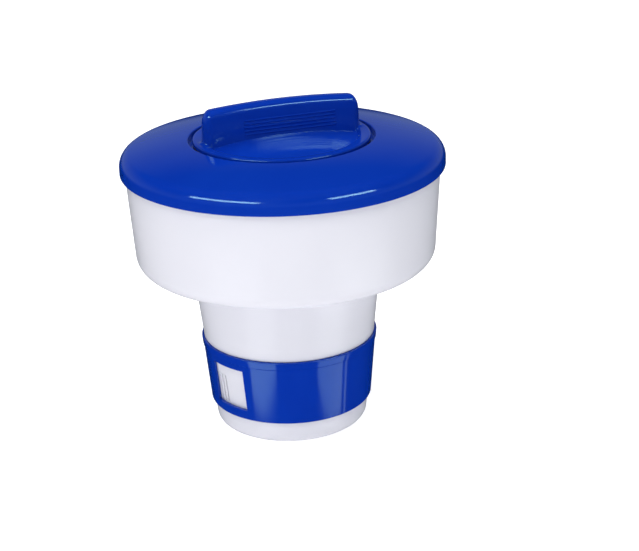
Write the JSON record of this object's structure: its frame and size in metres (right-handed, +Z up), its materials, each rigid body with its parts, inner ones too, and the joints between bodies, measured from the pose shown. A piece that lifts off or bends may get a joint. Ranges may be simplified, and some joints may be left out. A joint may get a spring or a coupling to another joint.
{
  "type": "floating chlorine dispenser",
  "caption": "Floating pool chlorine dispenser: hollow drum with domed lid, screw cap with bar handle, and tapered slotted canister with a turning flow sleeve.",
  "frame": {"origin": "centre of the canister's flat base, the lowest point of the dispenser", "axes": "+Z up the dispenser's axis; +X along the cap's bar handle when the cap is shut"},
  "size_m": [0.2, 0.2, 0.2092],
  "materials": {
    "blue_plastic": "glossy, injection moulded, solid blue",
    "white_plastic": "semi-gloss, injection moulded, solid white",
    "black_rubber": "matt, moulded seal rubber"
  },
  "bodies": {
    "dispenser": {"lid": "blue_plastic", "lid_gasket": "black_rubber", "float_drum": "white_plastic", "neck_seal": "black_rubber", "floor_seal": "black_rubber", "canister": "white_plastic"},
    "seal_ring": {"cap_seal": "black_rubber"},
    "cap": {"turn_cap": "blue_plastic"},
    "sleeve": {"flow_sleeve": "blue_plastic"}
  },
  "joints": [
    {"name": "cap_lift", "type": "slide", "parent": "dispenser", "child": "seal_ring", "axis": [0, 0, 1], "range_m": [0, 0.0201]},
    {"name": "cap_turn", "type": "hinge", "parent": "seal_ring", "child": "cap", "pos_m": [0, 0, 0.1838], "axis": [0, 0, 1], "range_deg": [0, 300]},
    {"name": "sleeve_turn", "type": "hinge", "parent": "dispenser", "child": "sleeve", "pos_m": [0, 0, 0.0367], "axis": [0, 0, 1], "continuous": true}
  ],
  "couplings": [
    {"joint": "cap_lift", "follows": "cap_turn", "m_per_rad": 0.0038197}
  ]
}
